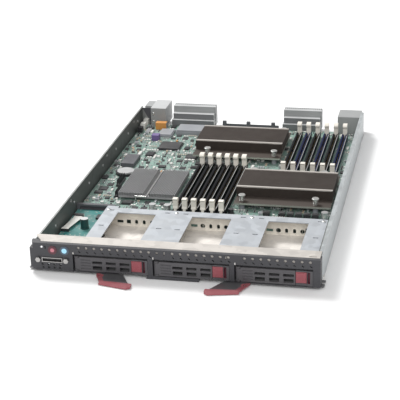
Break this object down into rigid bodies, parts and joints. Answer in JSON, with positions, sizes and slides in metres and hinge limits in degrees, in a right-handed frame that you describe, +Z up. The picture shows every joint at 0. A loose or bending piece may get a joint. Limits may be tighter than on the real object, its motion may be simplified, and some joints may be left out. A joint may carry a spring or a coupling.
{
  "type": "blade server",
  "caption": "Open-topped compute blade in a flat sheet-metal tray: front drive carriers and release levers, main board with memory sockets and coolers, rear midplane plugs",
  "frame": {"origin": "centre of the chassis tray's flat underside, half way between the front panel's face and the rear end of the power plug", "axes": "+Z up out of the tray, +Y towards the rear connectors, +X to the right seen from the front"},
  "size_m": [0.2936, 0.497, 0.0312],
  "materials": {
    "zinc_steel": "bright galvanised sheet with a fine spangle",
    "dark_steel": "dark coated steel plate",
    "black_plastic": "moulded charcoal plastic with a fine grain",
    "maroon_plastic": "moulded maroon plastic",
    "blue_plastic": "translucent light blue plastic",
    "ivory_plastic": "moulded ivory plastic",
    "grey_plastic": "moulded grey connector plastic",
    "green_board": "green glass-fibre board under clear solder resist",
    "component_plastic": "moulded component bodies",
    "fin_metal": "dull warm grey metal fins",
    "bright_metal": "bright nickel plate"
  },
  "bodies": {
    "chassis": {"chassis_tray": "zinc_steel", "front_panel": "black_plastic", "front_crossbar": "zinc_steel", "drive_cage": "zinc_steel", "cage_cover": "zinc_steel", "drive_backplane": "green_board", "console_port": "bright_metal", "main_board": "green_board", "control_board": "green_board", "board_bar": "black_plastic", "board_components": "component_plastic", "processor_coolers": "fin_metal", "cooler_screws": "bright_metal", "processor_sockets": "component_plastic", "processors": "bright_metal", "chipset_cooler": "fin_metal", "chipset_clip": "bright_metal", "memory_sockets": "black_plastic", "power_connector": "grey_plastic", "signal_connectors": "grey_plastic", "rear_guides": "grey_plastic"},
    "carrier_body_1": {"carrier_1": "black_plastic"},
    "handle_body_1": {"carrier_handle_1": "black_plastic"},
    "release_body_1": {"carrier_button_1": "maroon_plastic"},
    "carrier_body_2": {"carrier_2": "black_plastic"},
    "handle_body_2": {"carrier_handle_2": "black_plastic"},
    "release_body_2": {"carrier_button_2": "maroon_plastic"},
    "carrier_body_3": {"carrier_3": "black_plastic"},
    "handle_body_3": {"carrier_handle_3": "black_plastic"},
    "release_body_3": {"carrier_button_3": "maroon_plastic"},
    "power_button_body": {"power_button": "maroon_plastic"},
    "console_button_body": {"console_button": "blue_plastic"},
    "left_lever_body": {"left_lever": "dark_steel", "left_grip": "maroon_plastic"},
    "right_lever_body": {"right_lever": "dark_steel", "right_grip": "maroon_plastic"},
    "latch_a1_front_body": {"latch_a1_front": "ivory_plastic"},
    "latch_a2_front_body": {"latch_a2_front": "ivory_plastic"},
    "latch_a3_front_body": {"latch_a3_front": "ivory_plastic"},
    "latch_a4_front_body": {"latch_a4_front": "ivory_plastic"},
    "latch_a5_front_body": {"latch_a5_front": "ivory_plastic"},
    "latch_a6_front_body": {"latch_a6_front": "ivory_plastic"},
    "latch_a1_rear_body": {"latch_a1_rear": "ivory_plastic"},
    "latch_a2_rear_body": {"latch_a2_rear": "ivory_plastic"},
    "latch_a3_rear_body": {"latch_a3_rear": "ivory_plastic"},
    "latch_a4_rear_body": {"latch_a4_rear": "ivory_plastic"},
    "latch_a5_rear_body": {"latch_a5_rear": "ivory_plastic"},
    "latch_a6_rear_body": {"latch_a6_rear": "ivory_plastic"},
    "latch_b1_front_body": {"latch_b1_front": "ivory_plastic"},
    "latch_b2_front_body": {"latch_b2_front": "ivory_plastic"},
    "latch_b3_front_body": {"latch_b3_front": "ivory_plastic"},
    "latch_b4_front_body": {"latch_b4_front": "ivory_plastic"},
    "latch_b5_front_body": {"latch_b5_front": "ivory_plastic"},
    "latch_b6_front_body": {"latch_b6_front": "ivory_plastic"},
    "latch_b1_rear_body": {"latch_b1_rear": "ivory_plastic"},
    "latch_b2_rear_body": {"latch_b2_rear": "ivory_plastic"},
    "latch_b3_rear_body": {"latch_b3_rear": "ivory_plastic"},
    "latch_b4_rear_body": {"latch_b4_rear": "ivory_plastic"},
    "latch_b5_rear_body": {"latch_b5_rear": "ivory_plastic"},
    "latch_b6_rear_body": {"latch_b6_rear": "ivory_plastic"}
  },
  "joints": [
    {"name": "carrier_slide_1", "type": "slide", "parent": "chassis", "child": "carrier_body_1", "axis": [0, -1, 0], "range_m": [0, 0.09]},
    {"name": "handle_hinge_1", "type": "hinge", "parent": "carrier_body_1", "child": "handle_body_1", "pos_m": [-0.0964, -0.232, 0.0112], "axis": [0, 0, -1], "range_deg": [0, 60]},
    {"name": "release_press_1", "type": "slide", "parent": "carrier_body_1", "child": "release_body_1", "axis": [0, 1, 0], "range_m": [0, 0.0012], "stiffness_N_per_m": 400, "springref_m": -0.001},
    {"name": "carrier_slide_2", "type": "slide", "parent": "chassis", "child": "carrier_body_2", "axis": [0, -1, 0], "range_m": [0, 0.09]},
    {"name": "handle_hinge_2", "type": "hinge", "parent": "carrier_body_2", "child": "handle_body_2", "pos_m": [-0.016, -0.232, 0.0112], "axis": [0, 0, -1], "range_deg": [0, 60]},
    {"name": "release_press_2", "type": "slide", "parent": "carrier_body_2", "child": "release_body_2", "axis": [0, 1, 0], "range_m": [0, 0.0012], "stiffness_N_per_m": 400, "springref_m": -0.001},
    {"name": "carrier_slide_3", "type": "slide", "parent": "chassis", "child": "carrier_body_3", "axis": [0, -1, 0], "range_m": [0, 0.09]},
    {"name": "handle_hinge_3", "type": "hinge", "parent": "carrier_body_3", "child": "handle_body_3", "pos_m": [0.0644, -0.232, 0.0112], "axis": [0, 0, -1], "range_deg": [0, 60]},
    {"name": "release_press_3", "type": "slide", "parent": "carrier_body_3", "child": "release_body_3", "axis": [0, 1, 0], "range_m": [0, 0.0012], "stiffness_N_per_m": 400, "springref_m": -0.001},
    {"name": "power_button_press", "type": "slide", "parent": "chassis", "child": "power_button_body", "axis": [0, 1, 0], "range_m": [0, 0.0012], "stiffness_N_per_m": 400, "springref_m": -0.001},
    {"name": "console_button_press", "type": "slide", "parent": "chassis", "child": "console_button_body", "axis": [0, 1, 0], "range_m": [0, 0.0012], "stiffness_N_per_m": 400, "springref_m": -0.001},
    {"name": "left_lever_pivot", "type": "hinge", "parent": "chassis", "child": "left_lever_body", "pos_m": [-0.131, -0.221, 0.0018], "axis": [0, 0, 1], "range_deg": [0, 13]},
    {"name": "right_lever_pivot", "type": "hinge", "parent": "chassis", "child": "right_lever_body", "pos_m": [0.131, -0.221, 0.0018], "axis": [0, 0, -1], "range_deg": [0, 13]},
    {"name": "latch_a1_front_tilt", "type": "hinge", "parent": "chassis", "child": "latch_a1_front_body", "pos_m": [-0.0306, -0.0873, 0.0076], "axis": [1, 0, 0], "range_deg": [0, 25]},
    {"name": "latch_a2_front_tilt", "type": "hinge", "parent": "chassis", "child": "latch_a2_front_body", "pos_m": [-0.0206, -0.0873, 0.0076], "axis": [1, 0, 0], "range_deg": [0, 25]},
    {"name": "latch_a3_front_tilt", "type": "hinge", "parent": "chassis", "child": "latch_a3_front_body", "pos_m": [-0.0106, -0.0873, 0.0076], "axis": [1, 0, 0], "range_deg": [0, 25]},
    {"name": "latch_a4_front_tilt", "type": "hinge", "parent": "chassis", "child": "latch_a4_front_body", "pos_m": [-0.0006, -0.0873, 0.0076], "axis": [1, 0, 0], "range_deg": [0, 25]},
    {"name": "latch_a5_front_tilt", "type": "hinge", "parent": "chassis", "child": "latch_a5_front_body", "pos_m": [0.0094, -0.0873, 0.0076], "axis": [1, 0, 0], "range_deg": [0, 25]},
    {"name": "latch_a6_front_tilt", "type": "hinge", "parent": "chassis", "child": "latch_a6_front_body", "pos_m": [0.0194, -0.0873, 0.0076], "axis": [1, 0, 0], "range_deg": [0, 25]},
    {"name": "latch_a1_rear_tilt", "type": "hinge", "parent": "chassis", "child": "latch_a1_rear_body", "pos_m": [-0.0306, 0.0543, 0.0076], "axis": [-1, 0, 0], "range_deg": [0, 25]},
    {"name": "latch_a2_rear_tilt", "type": "hinge", "parent": "chassis", "child": "latch_a2_rear_body", "pos_m": [-0.0206, 0.0543, 0.0076], "axis": [-1, 0, 0], "range_deg": [0, 25]},
    {"name": "latch_a3_rear_tilt", "type": "hinge", "parent": "chassis", "child": "latch_a3_rear_body", "pos_m": [-0.0106, 0.0543, 0.0076], "axis": [-1, 0, 0], "range_deg": [0, 25]},
    {"name": "latch_a4_rear_tilt", "type": "hinge", "parent": "chassis", "child": "latch_a4_rear_body", "pos_m": [-0.0006, 0.0543, 0.0076], "axis": [-1, 0, 0], "range_deg": [0, 25]},
    {"name": "latch_a5_rear_tilt", "type": "hinge", "parent": "chassis", "child": "latch_a5_rear_body", "pos_m": [0.0094, 0.0543, 0.0076], "axis": [-1, 0, 0], "range_deg": [0, 25]},
    {"name": "latch_a6_rear_tilt", "type": "hinge", "parent": "chassis", "child": "latch_a6_rear_body", "pos_m": [0.0194, 0.0543, 0.0076], "axis": [-1, 0, 0], "range_deg": [0, 25]},
    {"name": "latch_b1_front_tilt", "type": "hinge", "parent": "chassis", "child": "latch_b1_front_body", "pos_m": [0.06725, 0.0372, 0.0076], "axis": [1, 0, 0], "range_deg": [0, 25]},
    {"name": "latch_b2_front_tilt", "type": "hinge", "parent": "chassis", "child": "latch_b2_front_body", "pos_m": [0.07855, 0.0372, 0.0076], "axis": [1, 0, 0], "range_deg": [0, 25]},
    {"name": "latch_b3_front_tilt", "type": "hinge", "parent": "chassis", "child": "latch_b3_front_body", "pos_m": [0.08985, 0.0372, 0.0076], "axis": [1, 0, 0], "range_deg": [0, 25]},
    {"name": "latch_b4_front_tilt", "type": "hinge", "parent": "chassis", "child": "latch_b4_front_body", "pos_m": [0.10115, 0.0372, 0.0076], "axis": [1, 0, 0], "range_deg": [0, 25]},
    {"name": "latch_b5_front_tilt", "type": "hinge", "parent": "chassis", "child": "latch_b5_front_body", "pos_m": [0.11245, 0.0372, 0.0076], "axis": [1, 0, 0], "range_deg": [0, 25]},
    {"name": "latch_b6_front_tilt", "type": "hinge", "parent": "chassis", "child": "latch_b6_front_body", "pos_m": [0.12375, 0.0372, 0.0076], "axis": [1, 0, 0], "range_deg": [0, 25]},
    {"name": "latch_b1_rear_tilt", "type": "hinge", "parent": "chassis", "child": "latch_b1_rear_body", "pos_m": [0.06725, 0.1788, 0.0076], "axis": [-1, 0, 0], "range_deg": [0, 25]},
    {"name": "latch_b2_rear_tilt", "type": "hinge", "parent": "chassis", "child": "latch_b2_rear_body", "pos_m": [0.07855, 0.1788, 0.0076], "axis": [-1, 0, 0], "range_deg": [0, 25]},
    {"name": "latch_b3_rear_tilt", "type": "hinge", "parent": "chassis", "child": "latch_b3_rear_body", "pos_m": [0.08985, 0.1788, 0.0076], "axis": [-1, 0, 0], "range_deg": [0, 25]},
    {"name": "latch_b4_rear_tilt", "type": "hinge", "parent": "chassis", "child": "latch_b4_rear_body", "pos_m": [0.10115, 0.1788, 0.0076], "axis": [-1, 0, 0], "range_deg": [0, 25]},
    {"name": "latch_b5_rear_tilt", "type": "hinge", "parent": "chassis", "child": "latch_b5_rear_body", "pos_m": [0.11245, 0.1788, 0.0076], "axis": [-1, 0, 0], "range_deg": [0, 25]},
    {"name": "latch_b6_rear_tilt", "type": "hinge", "parent": "chassis", "child": "latch_b6_rear_body", "pos_m": [0.12375, 0.1788, 0.0076], "axis": [-1, 0, 0], "range_deg": [0, 25]}
  ]
}
